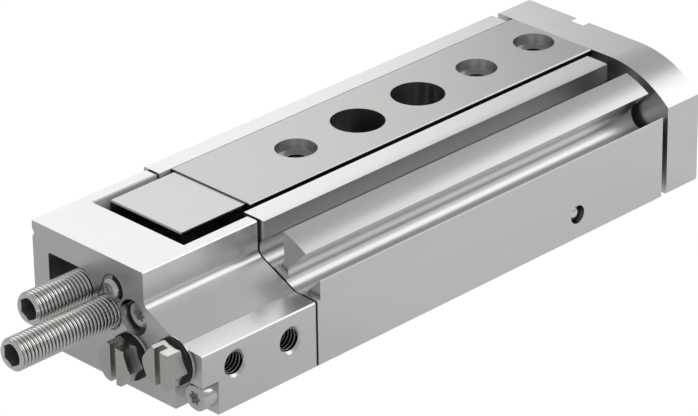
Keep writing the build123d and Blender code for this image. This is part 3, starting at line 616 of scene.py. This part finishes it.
def makeInsideThread(mountName, finish, body):
    # Winds a thread down a hole that the record states, about the hole's own axis.
    mount = mountPlaces[mountName]
    length = mount["dims"]["length_mm"] * mm
    pitch = insideThreads["pitch"] * mm
    steps = int(length / pitch * insideThreads["stepsPerTurn"])
    mesh = grow(mountName + "_coil", insideThread, {
        "Length": length, "Radius": mount["dims"]["r_mm"] * mm, "Depth": insideThreads["depth"] * mm,
        "Pitch": pitch, "Steps": steps, "Material": materials[finish]})
    axis = Vector(mount["axis"])
    turn = Vector((0, 0, 1)).rotation_difference(axis).to_matrix().to_4x4()
    mesh.transform(turn)
    for vert in mesh.vertices:
        vert.co += Vector(mount["pos_m"]) - axis * length / 2
    newPiece(mountName + "_thread", mesh, body)


insideThread = threadCoilTree()
makeInsideThread("extend_port", "portThread", "housing")
makeInsideThread("retract_port", "portThread", "housing")
for number in (1, 2, 3):
    makeInsideThread(f"table_thread_{number}", "tableThread", "table")
print("inside threads wound")


# Floor, light and camera

cameraView = {
    # the aim point lies off the camera's axis by aimRight and aimUp; lengths in millimetres, clip in metres
    "focalPixels": 4189.8, "imageWidth": 698, "sensorWidth": 36.0,
    "azimuth": 45.549, "elevation": 26.978, "roll": -0.871,
    "aim": (3.15, 0.02, 7.62), "aimRight": 3.274, "aimUp": 1.077, "distance": 485.75,
    "clip": (0.01, 20),
}


def direction(azimuth, elevation):
    # A unit vector, from angles in degrees.
    azimuth, elevation = math.radians(azimuth), math.radians(elevation)
    return Vector((math.cos(elevation) * math.cos(azimuth), math.cos(elevation) * math.sin(azimuth),
                   math.sin(elevation)))


def makeCamera():
    roll = math.radians(cameraView["roll"])
    forward = direction(cameraView["azimuth"], -cameraView["elevation"])
    right = forward.cross(Vector((0, 0, 1))).normalized()
    up = right.cross(forward)
    rolledRight = math.cos(roll) * right + math.sin(roll) * up
    rolledUp = math.cos(roll) * up - math.sin(roll) * right
    aim = Vector(cameraView["aim"])
    onAxis = aim - cameraView["aimRight"] * rolledRight - cameraView["aimUp"] * rolledUp
    place = (onAxis - cameraView["distance"] * forward) * mm
    data = bpy.data.cameras.new("photoCamera")
    data.sensor_width = cameraView["sensorWidth"]
    data.lens = cameraView["focalPixels"] / cameraView["imageWidth"] * cameraView["sensorWidth"]
    data.clip_start, data.clip_end = cameraView["clip"]
    camera = bpy.data.objects.new("photoCamera", data)
    bpy.context.scene.collection.objects.link(camera)
    turn = Matrix((rolledRight, rolledUp, -forward)).transposed()
    camera.matrix_world = Matrix.Translation(place) @ turn.to_4x4()
    bpy.context.scene.camera = camera


def rayKinds(maker):
    # Whether a ray comes straight from the camera or through a clear piece, and whether it is a reflection.
    rays = maker.outputs("ShaderNodeLightPath")
    seen = maker.math("MAXIMUM", rays["Is Camera Ray"], rays["Is Transmission Ray"])
    return seen, rays["Is Glossy Ray"]


studio = {
    "floorColour": 0.9, "floorGlow": 1.06, "floorShadow": 0.06, "floorSize": 4.0,
    # in reflections the floor is an even sheet, paler past the side with the ports than past the end cap
    "sheetShare": 0.65, "sheetDim": 0.42, "sheetPale": 0.7, "sheetRise": (-0.06, 0.02),
    "worldFill": 0.5, "worldReflected": 0.05,
}
lamps = {
    # degrees as seen from the part, distance and size in metres, and the radiance of the cloth
    "backSoftbox": {"azimuth": 65.5, "elevation": 35, "distance": 0.8, "size": (0.62, 0.45),
                    "radiance": 0.95},
    "shoulderSoftbox": {"azimuth": -30, "elevation": 38, "distance": 0.8, "size": (0.6, 0.5),
                        "radiance": 1.1},
}


def makeFloor():
    half = studio["floorSize"] / 2
    corners = [(-half, -half, 0), (half, -half, 0), (half, half, 0), (-half, half, 0)]
    mesh = bpy.data.meshes.new("floor")
    mesh.from_pydata(corners, [], [(0, 1, 2, 3)])
    floor = bpy.data.objects.new("floor", mesh)
    bpy.context.scene.collection.objects.link(floor)
    material = bpy.data.materials.new("paleFloor")
    material.use_nodes = True
    material.node_tree.nodes.clear()
    maker = NodeMaker(material.node_tree)
    matte = maker.node("ShaderNodeBsdfDiffuse", inputs={"Color": (*[studio["floorColour"]] * 3, 1)})
    dark = maker.node("ShaderNodeEmission", inputs={"Strength": 0.0})
    glow = maker.node("ShaderNodeEmission", inputs={"Strength": studio["floorGlow"]})
    seen, glossy = rayKinds(maker)
    here = maker.node("ShaderNodeTexCoord", output="Object")
    along = maker.outputs("ShaderNodeSeparateXYZ", {"Vector": here})
    riseStart, riseEnd = studio["sheetRise"]
    level = maker.node("ShaderNodeMapRange", {"interpolation_type": "SMOOTHSTEP"}, {
        "Value": along["X"] - along["Y"], "From Min": riseStart, "From Max": riseEnd,
        "To Min": studio["sheetDim"], "To Max": studio["sheetPale"]})
    sheet = maker.node("ShaderNodeMixShader", inputs={
        0: maker.math("MAXIMUM", seen, level), 1: dark, 2: glow})
    share = maker.math("MAXIMUM", seen * (1 - studio["floorShadow"]), glossy * studio["sheetShare"])
    mixed = maker.node("ShaderNodeMixShader", inputs={0: share, 1: matte, 2: sheet})
    maker.node("ShaderNodeOutputMaterial", inputs={"Surface": mixed})
    mesh.materials.append(material)


def makeWorld():
    world = bpy.data.worlds.new("studio")
    bpy.context.scene.world = world
    world.use_nodes = True
    world.node_tree.nodes.clear()
    maker = NodeMaker(world.node_tree)
    fill = maker.node("ShaderNodeBackground", inputs={"Strength": studio["worldFill"]})
    white = maker.node("ShaderNodeBackground", inputs={"Strength": 1.0})
    seen, glossy = rayKinds(maker)
    share = maker.math("MAXIMUM", seen, glossy * studio["worldReflected"])
    mixed = maker.node("ShaderNodeMixShader", inputs={0: share, 1: fill, 2: white})
    maker.node("ShaderNodeOutputWorld", inputs={"Surface": mixed})


def makeLamps():
    for name, lamp in lamps.items():
        way = direction(lamp["azimuth"], lamp["elevation"])
        data = bpy.data.lights.new(name, "AREA")
        data.shape = "RECTANGLE"
        data.size, data.size_y = lamp["size"]
        data.energy = lamp["radiance"] * math.pi * data.size * data.size_y
        light = bpy.data.objects.new(name, data)
        bpy.context.scene.collection.objects.link(light)
        light.location = way * lamp["distance"]
        light.rotation_euler = (-way).to_track_quat("-Z", "Y").to_euler()


makeCamera()
makeFloor()
makeWorld()
makeLamps()
bpy.context.scene.view_settings.view_transform = "Standard"
print("studio ready")
